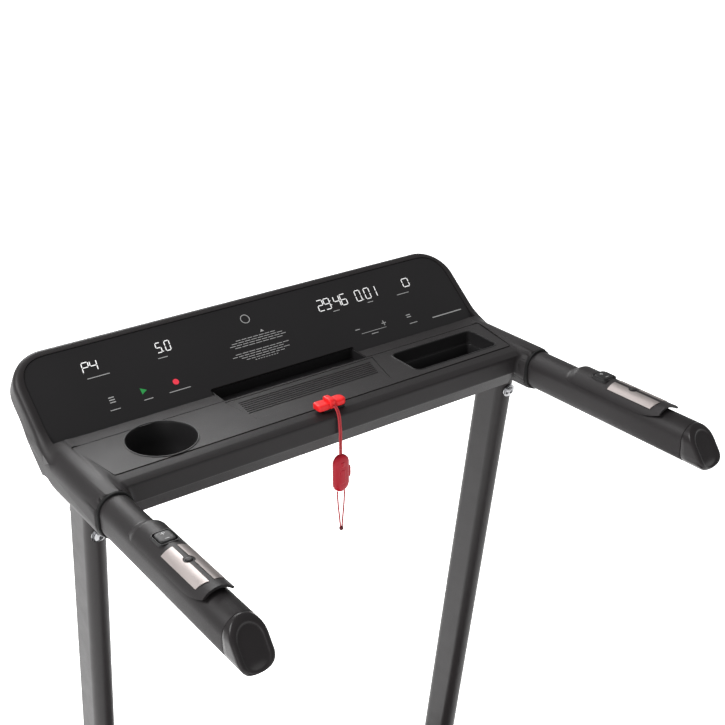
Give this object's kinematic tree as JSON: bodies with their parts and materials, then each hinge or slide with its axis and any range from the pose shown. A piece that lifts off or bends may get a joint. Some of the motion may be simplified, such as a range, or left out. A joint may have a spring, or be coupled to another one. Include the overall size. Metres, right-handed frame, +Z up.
{
  "type": "folding treadmill",
  "caption": "Folding home treadmill: leaning uprights, wide console with cup holder, handlebars with pulse plates, pull key on a cord, and a deck that folds up on a strut.",
  "frame": {"origin": "on the floor under the middle of the treadmill's overall length and width", "axes": "+X to the runner's right, +Y the way the runner faces, towards the console, +Z up"},
  "size_m": [0.706, 1.54, 1.2226],
  "materials": {
    "shell": "fine moulded grain, charcoal",
    "grip_coat": "soft textured coating, charcoal",
    "painted_steel": "satin powder coat, dark grey",
    "dark_plastic": "satin, near black",
    "rubber": "matte",
    "chrome": "polished",
    "zinc_steel": "zinc plated",
    "pulse_steel": "satin sheet",
    "circuit_board": "solder mask",
    "key_red": "moulded, semi-gloss",
    "cord_red": "braided cord",
    "clip_red": "moulded, dark red",
    "wheel_plastic": "solid tyre",
    "strut_paint": "gloss black",
    "motor_iron": "painted black",
    "running_belt": "fine diamond texture",
    "board": "medium density board"
  },
  "bodies": {
    "base": {"base_frame": "painted_steel", "base_feet": "rubber", "left_upright": "painted_steel", "right_upright": "painted_steel", "left_boot": "shell", "right_boot": "shell", "console_bolts": "chrome", "frame_bolts": "zinc_steel", "console_beam": "painted_steel", "console_lower_shell": "shell", "console_upper_shell": "shell", "display_panel": "dark_plastic", "display_board": "circuit_board", "cup_holder": "shell", "storage_tray": "shell", "tablet_rest": "dark_plastic", "left_handlebar": "grip_coat", "right_handlebar": "grip_coat", "collars": "rubber", "left_end_cap": "shell", "right_end_cap": "shell", "left_pulse_housing": "shell", "right_pulse_housing": "shell", "pulse_plates": "pulse_steel", "key_socket": "dark_plastic"},
    "left_rocker": {"left_rocker": "dark_plastic"},
    "right_rocker": {"right_rocker": "dark_plastic"},
    "key": {"safety_key": "key_red", "safety_cord": "cord_red", "cord_clip": "clip_red", "cord_loop": "cord_red"},
    "clip_lever": {"clip_lever": "clip_red"},
    "left_wheel": {"left_wheel": "wheel_plastic"},
    "right_wheel": {"right_wheel": "wheel_plastic"},
    "strut_cylinder": {"strut_cylinder": "strut_paint"},
    "strut_rod": {"strut_rod": "chrome"},
    "deck": {"deck_frame": "painted_steel", "rear_legs": "painted_steel", "motor_plate": "painted_steel", "running_board": "board", "running_belt": "running_belt", "left_foot_rail": "shell", "right_foot_rail": "shell", "left_rear_cap": "shell", "right_rear_cap": "shell", "rear_feet": "rubber", "deck_cushions": "rubber", "roller_shafts": "zinc_steel", "motor": "motor_iron", "drive_belt": "rubber", "motor_controller": "circuit_board", "motor_hood": "shell", "motor_pan": "shell", "mains_inlet": "dark_plastic", "deck_bolts": "zinc_steel"},
    "front_roller": {"front_roller": "zinc_steel"},
    "rear_roller": {"rear_roller": "zinc_steel"},
    "motor_pulley": {"motor_pulley": "zinc_steel"},
    "power_switch": {"power_switch": "key_red"},
    "circuit_breaker": {"circuit_breaker": "dark_plastic"}
  },
  "joints": [
    {"name": "deck_fold", "type": "hinge", "parent": "base", "child": "deck", "pos_m": [0, 0.675, 0.105], "axis": [-1, 0, 0], "range_deg": [0, 70]},
    {"name": "strut_swing", "type": "hinge", "parent": "base", "child": "strut_cylinder", "pos_m": [0, 0.64, 0.048], "axis": [-1, 0, 0], "range_deg": [0, 68.7]},
    {"name": "rod_slide", "type": "slide", "parent": "strut_cylinder", "child": "strut_rod", "axis": [0, -0.9973, 0.0728], "range_m": [0, 0.0765]},
    {"name": "front_roller_spin", "type": "hinge", "parent": "deck", "child": "front_roller", "pos_m": [0, 0.44, 0.134], "axis": [1, 0, 0], "continuous": true},
    {"name": "rear_roller_spin", "type": "hinge", "parent": "deck", "child": "rear_roller", "pos_m": [0, -0.715, 0.134], "axis": [1, 0, 0], "continuous": true},
    {"name": "motor_spin", "type": "hinge", "parent": "deck", "child": "motor_pulley", "pos_m": [0, 0.6, 0.15], "axis": [1, 0, 0], "continuous": true},
    {"name": "left_wheel_spin", "type": "hinge", "parent": "base", "child": "left_wheel", "pos_m": [-0.328, 0.74, 0.032], "axis": [1, 0, 0], "continuous": true},
    {"name": "right_wheel_spin", "type": "hinge", "parent": "base", "child": "right_wheel", "pos_m": [0.328, 0.74, 0.032], "axis": [1, 0, 0], "continuous": true},
    {"name": "left_rocker_tilt", "type": "hinge", "parent": "base", "child": "left_rocker", "pos_m": [-0.3245, 0.30491, 1.15085], "axis": [1, 0, 0], "range_deg": [-4, 4], "stiffness_Nm_per_rad": 0.2},
    {"name": "right_rocker_tilt", "type": "hinge", "parent": "base", "child": "right_rocker", "pos_m": [0.3245, 0.30491, 1.15085], "axis": [1, 0, 0], "range_deg": [-4, 4], "stiffness_Nm_per_rad": 0.2},
    {"name": "key_pull", "type": "slide", "parent": "base", "child": "key", "axis": [0, 0, 1], "range_m": [0, 0.025]},
    {"name": "clip_lever_open", "type": "hinge", "parent": "key", "child": "clip_lever", "pos_m": [0.0033, 0.44, 1.0642], "axis": [0, -1, 0], "range_deg": [0, 14], "stiffness_Nm_per_rad": 0.01},
    {"name": "power_switch_rock", "type": "hinge", "parent": "deck", "child": "power_switch", "pos_m": [0.135, 0.714, 0.111], "axis": [1, 0, 0], "range_deg": [-6, 6]},
    {"name": "circuit_breaker_press", "type": "slide", "parent": "deck", "child": "circuit_breaker", "axis": [0, -1, 0], "range_m": [0, 0.002], "stiffness_N_per_m": 500}
  ],
  "couplings": [
    {"joint": "strut_swing", "follows": "deck_fold", "ratio": 0.97874},
    {"joint": "rod_slide", "follows": "deck_fold", "m_per_rad": 0.062358},
    {"joint": "rear_roller_spin", "follows": "front_roller_spin", "ratio": 1},
    {"joint": "motor_spin", "follows": "front_roller_spin", "ratio": 2.375}
  ]
}
